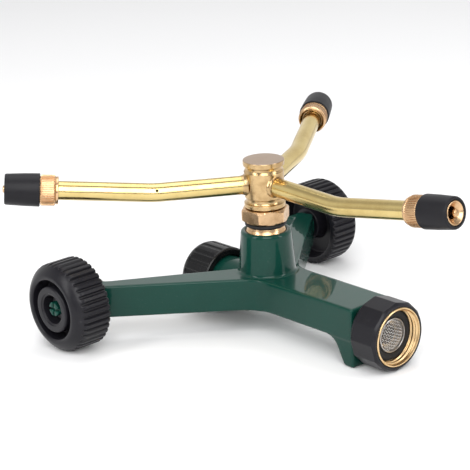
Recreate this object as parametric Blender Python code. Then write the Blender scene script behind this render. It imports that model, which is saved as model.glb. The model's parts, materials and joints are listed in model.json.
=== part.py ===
"""Three-arm rotary lawn sprinkler on a cast base with two wheels and a front foot.

Metres, +Z up. The hose coupling points to -Y and the wheels' axis runs along X.
The pieces are made about the rotor's axis, with the ground at Z 0, and the whole
is then shifted in X and Y to put the middle of its base at the origin.
"""
import math

import bmesh
import bpy
from mathutils import Matrix, Vector

MM = 0.001
GAP = 0.3                        # clearance between touching pieces, mm

# Driving dimensions in millimetres, about the rotor's axis
ROTOR_ANGLES = (147.1, 28.5, 266.3)
ARM_NAMES = ("left", "right", "front")
ARM_Z = 76.35                    # height of the arms' roots
TUBE_R = 4.75                    # 3/8 inch tube
TUBE_WALL = 0.8
ARM_ROOT = 8.3                   # tube's inner end from the rotor axis
ARM_STRAIGHT = 55.6              # rotor axis to the bend
ARM_RISES = (5.4, 4.8, 9.3)      # degrees that each arm climbs past its bend
ARM_SWEEPS = (-4.4, 8.3, 6.0)    # degrees that each arm turns sideways past its bend
ARM_REACH = 47.6                 # bend to the nozzle's rear face
BEND_R = 60.0
JET_RISE = 28.0                  # degrees above level that the side jets point
JET_R = 0.75
HEX_TURN = 33.0                  # degrees from +X to a corner of the gland nut

LEG_TOP = 30.4
LEG_BOTTOM = 13.7
LEG_ANGLE = 36.2                 # wheel legs off the X axis
LEG_ROOT_HALF = 9.0              # half width 20 mm from the axis
LEG_TIP_HALF = 5.06              # half width 80 mm from the axis
LEG_SHIFT = 4.96                 # both wheel legs' middle line passes ahead of the axis
SPINE_HALF = 13.3
SPINE_FRONT = 73.0
SKIN = 2.6                       # wall of the casting
WATER_Z = 17.5
WATER_R = 6.2
WHEEL_R = 22.8
AXLE_Y = 53.1
WHEEL_IN = 78.3
WHEEL_OUT = 98.8
SHOULDER = 90.0
RIBS = 40
RIB_DEPTH = 0.9
STUB_R = 5.0
STUB_END_R = 3.8
COUPLING_R = 17.2
RIM_Y = 91.7
NECK_R = 12.7
CAP_NEAR = 30.3
CAP_FAR = 50.2
CAP_R = 16.9

# Name: colour, roughness, metallic
FINISHES = {
    "green_paint": ((0.012, 0.085, 0.062), 0.18, 0.0),
    "black_plastic": ((0.022, 0.021, 0.023), 0.5, 0.0),
    "turned_brass": ((0.80, 0.50, 0.24), 0.28, 1.0),
    "tube_brass": ((0.78, 0.58, 0.20), 0.2, 1.0),
    "rubber": ((0.012, 0.012, 0.013), 0.7, 0.0),
    "stainless": ((0.62, 0.60, 0.58), 0.3, 1.0),
    "spring_steel": ((0.20, 0.20, 0.21), 0.4, 1.0),
    "white_acetal": ((0.75, 0.74, 0.70), 0.45, 0.0),
}


def clear_scene():
    for item in list(bpy.data.objects):
        bpy.data.objects.remove(item, do_unlink=True)


def finish(name):
    """One Principled material, made the first time that it is asked for."""
    material = bpy.data.materials.get(name)
    if material is None:
        colour, roughness, metallic = FINISHES[name]
        material = bpy.data.materials.new(name)
        material.use_nodes = True
        shader = material.node_tree.nodes["Principled BSDF"]
        shader.inputs["Base Color"].default_value = (*colour, 1.0)
        shader.inputs["Roughness"].default_value = roughness
        shader.inputs["Metallic"].default_value = metallic
    return material


def add_object(name, bm, material, smooth=30.0):
    bmesh.ops.recalc_face_normals(bm, faces=bm.faces[:])
    mesh = bpy.data.meshes.new(name)
    bm.to_mesh(mesh)
    bm.free()
    mesh.materials.append(finish(material))
    mesh.shade_smooth()
    mesh.set_sharp_from_angle(angle=math.radians(smooth))
    item = bpy.data.objects.new(name, mesh)
    bpy.context.scene.collection.objects.link(item)
    return item


def empty(name, location):
    item = bpy.data.objects.new(name, None)
    item.location = [value * MM for value in location]
    bpy.context.scene.collection.objects.link(item)
    return item


def place(item, location, direction=(0, 0, 1), parent=None):
    """Put the item's origin at a point in mm, its own +Z along a direction."""
    item.location = [value * MM for value in location]
    item.rotation_mode = "QUATERNION"
    item.rotation_quaternion = Vector((0, 0, 1)).rotation_difference(Vector(direction))
    if parent is not None:
        item.parent = parent
        item.location = [item.location[i] - parent.location[i] for i in range(3)]
    return item


def polar(radius, degrees):
    angle = math.radians(degrees)
    return radius * math.cos(angle), radius * math.sin(angle)


def loft(bm, rings, closed=False):
    """Skin rings of vertices; a ring of one vertex is a pole."""
    pairs = list(zip(rings, rings[1:]))
    if closed:
        pairs.append((rings[-1], rings[0]))
    for low, high in pairs:
        count = max(len(low), len(high))
        for i in range(count):
            j = (i + 1) % count
            if len(low) == 1 and len(high) == 1:
                continue
            if len(low) == 1:
                bm.faces.new((low[0], high[j], high[i]))
            elif len(high) == 1:
                bm.faces.new((low[i], low[j], high[0]))
            else:
                bm.faces.new((low[i], low[j], high[j], high[i]))


def flat_radius(radius, degrees, flats):
    """Radius at an angle of a polygon whose corners are at the given radius."""
    step = 360.0 / flats
    off_middle = math.radians(degrees % step - step / 2)
    return radius * math.cos(math.radians(step / 2)) / math.cos(off_middle)


def turn(profile, segments=20, flats=0):
    """Turn a closed section of (radius, height) points about +Z.

    A third value of True in a point puts it on the flats of a polygon.
    """
    bm = bmesh.new()
    rings = []
    for radius, height, *on_flats in profile:
        if radius < 1e-6:
            rings.append([bm.verts.new((0, 0, height * MM))])
            continue
        ring = []
        for i in range(segments):
            angle = 360.0 * i / segments
            reach = flat_radius(radius, angle, flats) if on_flats else radius
            x, y = polar(reach, angle)
            ring.append(bm.verts.new((x * MM, y * MM, height * MM)))
        rings.append(ring)
    closed = len(rings[0]) > 1 or len(rings[-1]) > 1
    loft(bm, rings, closed)
    return bm


def ring_section(inner, outer, low, high, chamfer=0.0):
    """Section of a washer or bush, with its outer edges broken."""
    if chamfer <= 0.0:
        return [(inner, low), (outer, low), (outer, high), (inner, high)]
    return [(inner, low), (outer - chamfer, low), (outer, low + chamfer),
            (outer, high - chamfer), (outer - chamfer, high), (inner, high)]


def round_section(middle, radius, height, points=8):
    """Round section of an O-ring."""
    section = []
    for i in range(points):
        x, y = polar(radius, 360.0 * (i + 0.5) / points)
        section.append((middle + x, height + y))
    return section


def prism(outline, low, high):
    """Upright prism on an outline of (x, y) points in mm."""
    bm = bmesh.new()
    rings = []
    for height in (low, high):
        rings.append([bm.verts.new((x * MM, y * MM, height * MM)) for x, y in outline])
    loft(bm, rings)
    bm.faces.new(list(reversed(rings[0])))
    bm.faces.new(rings[1])
    return bm


def cylinder(radius, start, end, segments=16):
    """Solid rod between two points in mm."""
    axis = Vector(end) - Vector(start)
    bm = turn([(0, 0), (radius, 0), (radius, axis.length), (0, axis.length)], segments)
    spin = Vector((0, 0, 1)).rotation_difference(axis).to_matrix().to_4x4()
    shift = Matrix.Translation(Vector(start) * MM)
    bmesh.ops.transform(bm, matrix=shift @ spin, verts=bm.verts[:])
    return bm


def combine(item, tool_bm, operation):
    """Join a temporary solid to the item, or cut it away, and keep the result."""
    tool = add_object("tool", tool_bm, "green_paint")
    step = item.modifiers.new("combine", "BOOLEAN")
    step.operation = operation
    step.object = tool
    bpy.context.view_layer.update()
    result = item.evaluated_get(bpy.context.evaluated_depsgraph_get())
    mesh = bpy.data.meshes.new_from_object(result)
    item.modifiers.remove(step)
    item.data = mesh
    bpy.data.objects.remove(tool, do_unlink=True)
    bpy.context.view_layer.update()


def leg_outline(side, start, end, inset=0.0):
    """Plan of a wheel leg: a tapering bar from the column out to the axle."""
    along = Vector(polar(1.0, LEG_ANGLE))
    across = Vector((-along.y, along.x))
    taper = (LEG_TIP_HALF - LEG_ROOT_HALF) / 60.0
    middle = Vector((0.0, -LEG_SHIFT))
    points = []
    for distance, sign in ((start, -1), (end, -1), (end, 1), (start, 1)):
        half = LEG_ROOT_HALF + taper * (distance - 20.0) - inset
        points.append(middle + along * distance + across * (half * sign))
    return [(side * point.x, point.y) for point in points]


def foot_solid():
    """Front foot: a block that narrows down to the sole, across the spine."""
    half = SPINE_HALF - 0.5
    front = -SPINE_FRONT + 0.4
    section = [(front, 0.0), (-66.5, 0.0), (-61.0, 10.7), (-54.9, 14.4), (-54.9, 20.0), (front, 20.0)]
    bm = bmesh.new()
    rings = []
    for x in (-half, half):
        rings.append([bm.verts.new((x * MM, y * MM, z * MM)) for y, z in section])
    loft(bm, rings)
    bm.faces.new(rings[0])
    bm.faces.new(list(reversed(rings[1])))
    return bm


def make_base():
    column = [(0, LEG_BOTTOM - 0.6), (14.0, LEG_BOTTOM - 0.6), (14.6, LEG_BOTTOM + 0.5), (14.6, 31.1), (14.1, 38.7), (13.4, 46.0),
              (13.0, 50.4), (12.2, 52.3), (0, 52.3)]
    base = add_object("base_casting", turn(column, 24), "green_paint", 35.0)
    spine = [(-SPINE_HALF, -SPINE_FRONT), (SPINE_HALF, -SPINE_FRONT), (SPINE_HALF, 0), (-SPINE_HALF, 0)]
    combine(base, prism(spine, LEG_BOTTOM, LEG_TOP), "UNION")
    for side in (-1, 1):
        combine(base, prism(leg_outline(side, 0.0, 94.0), LEG_BOTTOM, LEG_TOP), "UNION")
        boss = cylinder(7.4, (side * 68, AXLE_Y, WHEEL_R), (side * 77.6, AXLE_Y, WHEEL_R))
        combine(base, boss, "UNION")
    combine(base, foot_solid(), "UNION")
    roof = LEG_TOP - SKIN
    for side in (-1, 1):
        combine(base, prism(leg_outline(side, 22.0, 80.0, SKIN), 0.0, roof), "DIFFERENCE")
    pocket_half = SPINE_HALF - SKIN
    pocket = [(-pocket_half, -54.0), (pocket_half, -54.0), (pocket_half, -17.0), (-pocket_half, -17.0)]
    combine(base, prism(pocket, 0.0, roof), "DIFFERENCE")
    combine(base, cylinder(8.6, (0, -66, WATER_Z), (0, 0, WATER_Z), 20), "UNION")
    combine(base, cylinder(NECK_R, (0, 5.0, WATER_Z), (0, 43.0, WATER_Z), 20), "UNION")
    for side in (-1, 1):
        stub = turn([(0, 0), (STUB_R, 0), (STUB_R, 15.6), (STUB_END_R, 15.6), (STUB_END_R, 22.0),
                     (STUB_END_R - 0.5, 22.5), (0, 22.5)], 16)
        turn_out = Matrix.Rotation(math.radians(90.0 * side), 4, "Y")
        shift = Matrix.Translation(Vector((side * 75.0, AXLE_Y, WHEEL_R)) * MM)
        bmesh.ops.transform(stub, matrix=shift @ turn_out, verts=stub.verts[:])
        combine(base, stub, "UNION")
    combine(base, cylinder(WATER_R, (0, -80, WATER_Z), (0, 50, WATER_Z)), "DIFFERENCE")
    combine(base, cylinder(9.3, (0, -80, WATER_Z), (0, -63.5, WATER_Z), 20), "DIFFERENCE")
    combine(base, cylinder(WATER_R - 0.4, (0, 0, WATER_Z), (0, 0, 40)), "DIFFERENCE")
    combine(base, cylinder(10.6, (0, 0, 35.7), (0, 0, 60), 20), "DIFFERENCE")
    return base


# ---------------------------------------------------------------- wheels

def wheel_mesh():
    """Wheel turned about +Z, inner face at 0; the tread's ribs are cut into its rim."""
    width = WHEEL_OUT - WHEEL_IN
    shoulder = SHOULDER - WHEEL_IN
    sides = RIBS * 4

    def smooth_ring(bm, radius, height):
        ring = []
        for i in range(RIBS):
            x, y = polar(radius, 360.0 * i / RIBS)
            ring.append(bm.verts.new((x * MM, y * MM, height * MM)))
        return ring

    def rib_ring(bm, height):
        ring = []
        for i in range(sides):
            radius = WHEEL_R if i % 4 < 2 else WHEEL_R - RIB_DEPTH
            x, y = polar(radius, 360.0 * (i - 0.5) / sides)
            ring.append(bm.verts.new((x * MM, y * MM, height * MM)))
        return ring

    bm = bmesh.new()
    inner_low = smooth_ring(bm, WHEEL_R - 1.6, 0.0)
    ribs_low = rib_ring(bm, 0.9)
    ribs_high = rib_ring(bm, shoulder)
    round_low = smooth_ring(bm, WHEEL_R - 0.5, shoulder + 1.3)
    loft(bm, [ribs_low, ribs_high])
    for plain, ribbed in ((inner_low, ribs_low), (round_low, ribs_high)):
        for i in range(RIBS):
            j = (i + 1) % RIBS
            for k in range(4):
                bm.faces.new((plain[i], ribbed[4 * i + k], ribbed[(4 * i + k + 1) % sides]))
            bm.faces.new((plain[i], ribbed[(4 * i + 4) % sides], plain[j]))
    face = [(21.3, width - 3.6), (19.9, width - 1.6), (17.6, width - 0.3), (15.6, width),
            (15.2, width - 4.0), (12.0, width - 4.0), (11.8, width - 0.4), (7.1, width - 0.4),
            (7.1, width - 7.4), (STUB_R + GAP, width - 7.4), (STUB_R + GAP, 0.6), (8.8, 0.6),
            (9.2, 8.0), (18.4, 8.0), (19.2, 0.0)]
    rings = [round_low] + [smooth_ring(bm, r, z) for r, z in face] + [inner_low]
    loft(bm, rings)
    return bm


def make_wheels():
    master = None
    for side, name in ((-1, "left"), (1, "right")):
        hub = empty(name + "_axle", (side * WHEEL_IN, AXLE_Y, WHEEL_R))
        if master is None:
            wheel = add_object(name + "_wheel", wheel_mesh(), "black_plastic", 28.0)
            master = wheel.data
        else:
            wheel = bpy.data.objects.new(name + "_wheel", master)
            bpy.context.scene.collection.objects.link(wheel)
        place(wheel, (side * WHEEL_IN, AXLE_Y, WHEEL_R), (side, 0, 0), hub)
        nut = turn(ring_section(STUB_END_R + GAP, 6.6, 0.0, 0.8), 16)
        nut = add_object(name + "_push_nut", nut, "spring_steel")
        place(nut, (side * (WHEEL_OUT - 7.0), AXLE_Y, WHEEL_R), (side, 0, 0))


# ---------------------------------------------------------------- hose inlet and outlet cap

def make_inlet():
    """Local heights run from the casting's front face towards the hose."""
    def seat(item):
        return place(item, (0, -SPINE_FRONT, WATER_Z), (0, -1, 0))

    rim = RIM_Y - SPINE_FRONT
    tail = [(5.4, -9.0), (8.6, -9.0), (9.0, -8.5), (9.0, -0.5), (8.6, 0.6), (8.6, 8.6),
            (11.8, 8.8), (11.8, 10.4), (5.4, 10.4)]
    seat(add_object("swivel_tail", turn(tail), "turned_brass"))
    bore = [(9.0, 1.3), (14.0, 1.3), (14.2, 1.7), (14.2, rim - 1.2), (14.8, rim - 1.0), (14.8, rim - 0.3),
            (14.5, rim), (13.7, rim), (13.3, rim - 0.5), (13.3, 8.3), (9.0, 8.3)]
    seat(add_object("coupling_insert", turn(bore, 24), "turned_brass"))
    grip = [(14.5, 1.0), (15.2, 1.0, True), (COUPLING_R, 3.8, True), (COUPLING_R, rim - 2.3, True),
            (15.8, rim - 0.5, True), (15.1, rim - 0.5), (15.1, rim - 1.5), (14.5, rim - 1.5)]
    seat(add_object("coupling_grip", turn(grip, 24, 12), "black_plastic", 20.0))
    seat(add_object("hose_washer", turn(ring_section(8.8, 12.6, 10.8, 14.0)), "rubber"))
    dome = [(8.4, 11.2), (8.4, 14.4), (7.0, 15.4), (5.0, 16.2), (2.6, 16.7), (0, 16.9),
            (0, 16.3), (2.5, 16.1), (4.7, 15.6), (6.6, 14.9), (7.8, 14.0), (7.8, 11.2)]
    mesh = turn(dome)
    seat(add_object("filter_screen", mesh, "stainless"))


def make_outlet_cap():
    thread = empty("cap_thread", (0, CAP_NEAR, WATER_Z))
    depth = CAP_FAR - CAP_NEAR
    shell = [(NECK_R + 0.6, 0.0), (CAP_R - 0.6, 0.0), (CAP_R, 0.6), (CAP_R, depth - 3.0),
             (CAP_R - 0.8, depth - 1.0), (CAP_R - 2.6, depth), (0, depth), (0, depth - 3.6),
             (NECK_R + 0.6, depth - 3.6)]
    cap = add_object("outlet_cap", turn(shell, 24), "black_plastic", 25.0)
    place(cap, (0, CAP_NEAR, WATER_Z), (0, 1, 0), thread)
    low = 43.3 - CAP_NEAR
    washer = add_object("outlet_washer", turn(ring_section(7.5, 13.0, low, low + 2.7)), "rubber")
    place(washer, (0, CAP_NEAR, WATER_Z), (0, 1, 0), thread)


# ---------------------------------------------------------------- bearing and rotor

def make_bearing():
    insert = [(7.5, 36.0), (9.8, 36.0), (10.2, 36.4), (10.2, 51.6), (9.7, 53.2), (9.5, 54.4), (7.5, 54.4)]
    add_object("column_insert", turn(insert), "turned_brass")
    stem = [(3.2, 37.0), (6.8, 37.0), (7.2, 37.5), (7.2, 54.0), (4.5, 54.0), (4.5, 70.3), (6.5, 70.3),
            (6.5, 72.2), (6.0, 72.6), (3.2, 72.6)]
    add_object("stem", turn(stem), "turned_brass")
    add_object("bearing_washer", turn(ring_section(4.8, 10.6, 54.7, 56.7, 0.6)), "rubber")
    add_object("thrust_washer", turn(ring_section(4.8, 6.6, 68.9, 70.0)), "white_acetal")


def make_gland_nut():
    """Hexagon under the rotor head, with a threaded spigot that screws into it."""
    section = [(4.8, 57.0), (10.4, 57.0), (12.4, 58.3, True), (12.4, 62.6, True), (10.4, 64.2), (7.3, 64.2),
               (7.3, 68.6), (4.8, 68.6)]
    nut = add_object("gland_nut", turn(section, 24, 6), "turned_brass", 20.0)
    nut.rotation_euler.z = math.radians(HEX_TURN)


def make_head():
    head = [(7.6, 64.5), (10.1, 64.5), (10.4, 64.8), (10.4, 66.9), (9.7, 67.2), (9.7, 67.9), (10.1, 68.2),
            (10.1, 82.0), (9.7, 82.3), (9.7, 83.2), (10.4, 83.6), (10.4, 88.6), (10.0, 89.0), (0, 89.0),
            (0, 84.4), (7.2, 84.4), (7.2, 70.2), (7.6, 69.8)]
    item = add_object("rotor_head", turn(head, 24), "turned_brass", 25.0)
    for angle in ROTOR_ANGLES:
        x, y = polar(14.0, angle)
        combine(item, cylinder(TUBE_R + GAP, (0, 0, ARM_Z), (x, y, ARM_Z)), "DIFFERENCE")
    return item


def arm_directions(angle, sweep, rise):
    """Unit vectors of an arm before and past its bend."""
    first = Vector((*polar(1.0, angle), 0.0))
    flat = Vector((*polar(1.0, angle + sweep), 0.0))
    rise = math.radians(rise)
    second = flat * math.cos(rise) + Vector((0, 0, 1)) * math.sin(rise)
    return first, second


def arm_path(first, second, tail):
    """Middle line of a tube from the head to the nozzle, with a round bend."""
    corner = first * ARM_STRAIGHT
    turn_angle = first.angle(second)
    tangent = BEND_R * math.tan(turn_angle / 2)
    start = corner - first * tangent
    normal = (second - first * first.dot(second)).normalized()
    points = [first * ARM_ROOT]
    for i in range(5):
        angle = turn_angle * i / 4
        points.append(start + first * (BEND_R * math.sin(angle)) + normal * (BEND_R * (1 - math.cos(angle))))
    points.append(corner + second * (ARM_REACH + tail))
    return points


def tube(points, outer, inner, sides=14):
    """Open-ended pipe along a path in mm."""
    bm = bmesh.new()
    up = Vector((0, 0, 1))
    walls = []
    for radius in (outer, inner):
        rings = []
        for i, point in enumerate(points):
            ahead = points[min(i + 1, len(points) - 1)] - points[max(i - 1, 0)]
            across = ahead.cross(up).normalized()
            over = across.cross(ahead).normalized()
            ring = []
            for k in range(sides):
                x, y = polar(radius, 360.0 * k / sides)
                ring.append(bm.verts.new((point + across * x + over * y) * MM))
            rings.append(ring)
        walls.append(rings)
    loft(bm, walls[0] + list(reversed(walls[1])), True)
    return bm


def make_nozzle(name, origin, direction, rotor):
    """Twist nozzle; local heights run from its rear face to its tip."""
    parts = {
        "nozzle_seat": ([(5.05, 1.8), (5.6, 1.8), (5.6, 11.5), (3.2, 13.8), (3.2, 16.9), (1.2, 19.1),
                         (1.2, 24.9), (1.8, 26.1), (1.8, 27.0), (1.4, 27.5), (0, 27.5), (0, 16.0),
                         (1.9, 15.1), (1.9, 8.0), (5.05, 7.6)], "turned_brass"),
        "nozzle_o_ring": (round_section(6.35, 0.42, 6.7, 6), "rubber"),
        "nozzle_barrel": ([(6.6, 0.0), (7.0, 0.0), (7.2, 1.4), (7.7, 1.4), (7.7, 8.8), (6.8, 8.8),
                           (6.8, 25.0), (5.8, 25.0), (5.7, 26.5), (5.1, 26.5), (2.7, 24.1), (2.7, 21.8),
                           (5.9, 17.8), (5.9, 7.7), (7.1, 7.45), (7.1, 5.95), (5.9, 5.7), (5.9, 0.8)],
                          "turned_brass"),
        "nozzle_sleeve": ([(7.1, 9.1), (8.05, 9.1), (8.3, 9.5), (7.7, 25.6), (7.2, 26.6), (6.1, 26.6),
                           (6.1, 25.3), (7.1, 25.3)], "rubber"),
    }
    for part, (section, material) in parts.items():
        item = add_object(name + "_" + part, turn(section, 16), material, 28.0)
        place(item, origin, direction, rotor)


def make_arms():
    rotor = empty("rotor_axis", (0, 0, ARM_Z))
    jet = math.radians(JET_RISE)
    for name, angle, sweep, rise in zip(ARM_NAMES, ROTOR_ANGLES, ARM_SWEEPS, ARM_RISES):
        first, second = arm_directions(angle, sweep, rise)
        arm = tube(arm_path(first, second, 7.1), TUBE_R, TUBE_R - TUBE_WALL)
        arm = add_object(name + "_arm_tube", arm, "tube_brass", 50.0)
        across = Vector((-first.y * math.cos(jet), first.x * math.cos(jet), math.sin(jet)))
        middle = first * (ARM_STRAIGHT - 1.0)
        combine(arm, cylinder(JET_R, middle, middle + across * 8.0, 8), "DIFFERENCE")
        place(arm, (0, 0, ARM_Z))
        arm.parent = rotor
        arm.location = (0, 0, 0)
        end = first * ARM_STRAIGHT + second * ARM_REACH + Vector((0, 0, ARM_Z))
        make_nozzle(name, end, second, rotor)


def stand_on_origin():
    """Shift everything so that the middle of the bounding box's base is the origin."""
    bpy.context.view_layer.update()
    corners = []
    for item in bpy.data.objects:
        if item.type == "MESH":
            corners += [item.matrix_world @ vertex.co for vertex in item.data.vertices]
    low = [min(corner[i] for corner in corners) for i in range(3)]
    high = [max(corner[i] for corner in corners) for i in range(3)]
    shift = Vector((-(low[0] + high[0]) / 2, -(low[1] + high[1]) / 2, -low[2]))
    for item in bpy.data.objects:
        if item.parent is None:
            item.location += shift


def main():
    clear_scene()
    make_base()
    make_wheels()
    make_inlet()
    make_outlet_cap()
    make_bearing()
    make_gland_nut()
    make_head()
    make_arms()
    stand_on_origin()


main()
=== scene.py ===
# %% [markdown]
# A three-arm rotary lawn sprinkler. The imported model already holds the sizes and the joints; this lesson
# gives it its looks. Each piece is remade as a fine mesh in the same place, given a finish, and told which
# moving body it rides on.

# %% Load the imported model
import json
import math

import bmesh
import bpy
import numpy as np
from mathutils import Matrix, Vector


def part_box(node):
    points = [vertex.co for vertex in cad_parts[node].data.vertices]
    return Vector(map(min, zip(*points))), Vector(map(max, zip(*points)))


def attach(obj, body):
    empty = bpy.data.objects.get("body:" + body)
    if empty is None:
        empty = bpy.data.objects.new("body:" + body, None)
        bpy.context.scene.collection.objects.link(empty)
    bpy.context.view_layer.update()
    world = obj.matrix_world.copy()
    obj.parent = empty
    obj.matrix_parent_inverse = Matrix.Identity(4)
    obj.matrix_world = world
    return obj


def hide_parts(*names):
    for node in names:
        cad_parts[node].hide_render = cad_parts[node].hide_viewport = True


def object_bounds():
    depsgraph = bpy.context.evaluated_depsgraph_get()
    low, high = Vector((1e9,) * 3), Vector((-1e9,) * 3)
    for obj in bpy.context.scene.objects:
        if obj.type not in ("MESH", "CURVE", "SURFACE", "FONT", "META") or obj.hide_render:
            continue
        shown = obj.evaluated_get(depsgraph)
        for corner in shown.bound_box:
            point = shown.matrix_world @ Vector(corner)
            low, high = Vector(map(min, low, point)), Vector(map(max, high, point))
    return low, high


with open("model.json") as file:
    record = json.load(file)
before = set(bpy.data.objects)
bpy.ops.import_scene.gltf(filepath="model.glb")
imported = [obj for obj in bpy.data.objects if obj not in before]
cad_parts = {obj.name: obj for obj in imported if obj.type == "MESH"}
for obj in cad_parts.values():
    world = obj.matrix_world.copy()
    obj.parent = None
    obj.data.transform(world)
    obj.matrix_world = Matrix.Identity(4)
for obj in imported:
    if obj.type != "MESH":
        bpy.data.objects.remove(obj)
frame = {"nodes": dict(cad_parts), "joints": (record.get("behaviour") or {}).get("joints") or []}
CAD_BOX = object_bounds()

MM = 0.001
JOINTS = {joint["name"]: joint for joint in frame["joints"]}

# %% [markdown]
# Everything is placed from landmarks of the frame: the rotor's axis, the wheels' axle line, the hose
# coupling's axis and the arms' roots. They come from the joints, which already sit on those axes.

# %% Landmarks
ROTOR = Vector(JOINTS["rotor_spin"]["pos_m"])
HUB = Vector((ROTOR.x, ROTOR.y, 0.0))
HOSE = Vector(JOINTS["hose_swivel_spin"]["pos_m"])
CAP = Vector(JOINTS["outlet_cap_turn"]["pos_m"])
ARMS = ("left", "right", "front")
HEAD_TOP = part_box("rotor_head")[1].z
UP = Vector((0, 0, 1))
AHEAD = Vector((0, -1, 0))
BEHIND = Vector((0, 1, 0))
print("rotor axis at", [round(value / MM, 2) for value in ROTOR])

# %% [markdown]
# Shader and geometry node trees are both networks of small sums. Writing each Math node by hand hides the
# formula, so this class wraps an output socket and lets Python's own operators add the nodes.

# %% A socket that can be added and multiplied
def plug(tree, slot, value):
    """Link a wire to an input, or write a plain value on it."""
    if isinstance(value, Wire):
        tree.links.new(value.socket, slot)
    else:
        slot.default_value = value


class Wire:
    """An output socket with arithmetic."""

    def __init__(self, tree, socket):
        self.tree = tree
        self.socket = socket

    def math(self, operation, *values):
        node = self.tree.nodes.new("ShaderNodeMath")
        node.operation = operation
        for slot, value in zip(node.inputs, values):
            plug(self.tree, slot, value)
        return Wire(self.tree, node.outputs[0])

    def node(self, kind, settings=None, inputs=None, out=0):
        return add_node(self.tree, kind, settings, inputs, out)

    def __add__(self, other):
        return self.math("ADD", self, other)

    def __sub__(self, other):
        return self.math("SUBTRACT", self, other)

    def __rsub__(self, other):
        return self.math("SUBTRACT", other, self)

    def __mul__(self, other):
        return self.math("MULTIPLY", self, other)

    def __truediv__(self, other):
        return self.math("DIVIDE", self, other)

    def __rtruediv__(self, other):
        return self.math("DIVIDE", other, self)

    def __neg__(self):
        return self.math("MULTIPLY", self, -1.0)

    def __abs__(self):
        return self.math("ABSOLUTE", self)

    __radd__ = __add__
    __rmul__ = __mul__

    def ramp(self, low, high, start=0.0, end=1.0):
        """A soft step from start to end as the wire goes from low to high."""
        inputs = {"Value": self, "From Min": low, "From Max": high, "To Min": start, "To Max": end}
        return self.node("ShaderNodeMapRange", {"interpolation_type": "SMOOTHSTEP"}, inputs)


def add_node(tree, kind, settings=None, inputs=None, out=0):
    """Any other node: its settings first, then its inputs, which may be wires."""
    node = tree.nodes.new(kind)
    for name, value in (settings or {}).items():
        if name == "stops":
            set_stops(node.color_ramp, value)
        else:
            setattr(node, name, value)
    for name, value in (inputs or {}).items():
        plug(tree, node.inputs[name], value)
    return Wire(tree, node.outputs[out])


def set_stops(ramp, stops):
    while len(ramp.elements) < len(stops):
        ramp.elements.new(1.0)
    for element, (position, colour) in zip(ramp.elements, stops):
        element.position = position
        element.color = (*colour, 1.0)


print("wires ready")

# %% [markdown]
# A finish starts as a Principled shader. What is the same all over is written on its sockets; what varies
# comes from noise. Turned pieces carry a UV map whose second axis is the distance along their section, so
# lathe rings follow the surface whichever way the piece points.

# %% Helpers for finishes
def mix(tree, mask, first, second):
    """Blend two colours by a mask."""
    node = tree.nodes.new("ShaderNodeMix")
    node.data_type = "RGBA"
    for index, value in ((0, mask), (6, first), (7, second)):
        if not isinstance(value, (Wire, float)):
            value = (*value, 1.0)
        plug(tree, node.inputs[index], value)
    return Wire(tree, node.outputs[2])


def speckle(tree, vector, scale, detail=3.0, roughness=0.55):
    """Noise between 0 and 1 whose grains are about 1 / scale metres."""
    inputs = {"Vector": vector, "Scale": scale, "Detail": detail, "Roughness": roughness}
    return add_node(tree, "ShaderNodeTexNoise", {}, inputs)


def object_place(tree):
    node = tree.nodes.new("ShaderNodeTexCoord")
    return Wire(tree, node.outputs["Object"])


def around(tree):
    """The turned UV map as two wires: the turn, 0 to 1, and the distance along the section."""
    place = add_node(tree, "ShaderNodeUVMap", {"uv_map": "around"})
    node = tree.nodes.new("ShaderNodeSeparateXYZ")
    plug(tree, node.inputs[0], place)
    return Wire(tree, node.outputs[0]), Wire(tree, node.outputs[1])


def combine(tree, x, y, z):
    return add_node(tree, "ShaderNodeCombineXYZ", {}, {"X": x, "Y": y, "Z": z})


def bump(tree, height, distance, strength=1.0, normal=None):
    inputs = {"Height": height, "Distance": distance, "Strength": strength}
    if normal is not None:
        inputs["Normal"] = normal
    return add_node(tree, "ShaderNodeBump", {}, inputs)


def new_finish(name, **constants):
    """A material and its shader, with the sockets that don't vary already set."""
    material = bpy.data.materials.new(name)
    material.use_nodes = True
    shader = material.node_tree.nodes["Principled BSDF"]
    for socket, value in constants.items():
        shader.inputs[socket.replace("_", " ")].default_value = value
    return material, material.node_tree, shader


# %% [markdown]
# The casting is sprayed dark green under a clear gloss. Two scales of noise make the paint: a slow drift of
# depth and tone, and the faint orange peel that breaks up a reflection's edge. Edges, where paint pulls thin,
# are a little lighter.

# %% Green gloss paint
def make_green_paint():
    material, tree, shader = new_finish("green_gloss", Coat_Weight=1.0, Coat_Roughness=0.03, Coat_IOR=1.27,
                                        Specular_IOR_Level=0.08)
    place = object_place(tree)
    drift = speckle(tree, place, 45.0, 4.0)
    pointed = add_node(tree, "ShaderNodeNewGeometry", {}, {}, "Pointiness")
    edge = pointed.ramp(0.52, 0.60)
    body = mix(tree, drift, (0.0012, 0.030, 0.021), (0.0024, 0.045, 0.032))
    colour = mix(tree, edge * 0.3, body, (0.012, 0.10, 0.075))
    dust = speckle(tree, place, 900.0, 2.0).ramp(0.62, 0.78)
    plug(tree, shader.inputs["Base Color"], mix(tree, dust * 0.05, colour, (0.20, 0.24, 0.22)))
    plug(tree, shader.inputs["Roughness"], drift * 0.12 + 0.34 + dust * 0.1)
    peel = speckle(tree, place, 420.0, 2.0)
    waves = speckle(tree, place, 95.0, 1.0)
    plug(tree, shader.inputs["Normal"], bump(tree, peel * 0.25 + waves, 0.00006, 0.35))
    return material


# %% [markdown]
# The wheels, the coupling's grip and the rear cap are moulded in black plastic with a fine spark-eroded
# texture. It is satin rather than matt, and scuffs leave it paler and rougher in patches.

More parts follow.
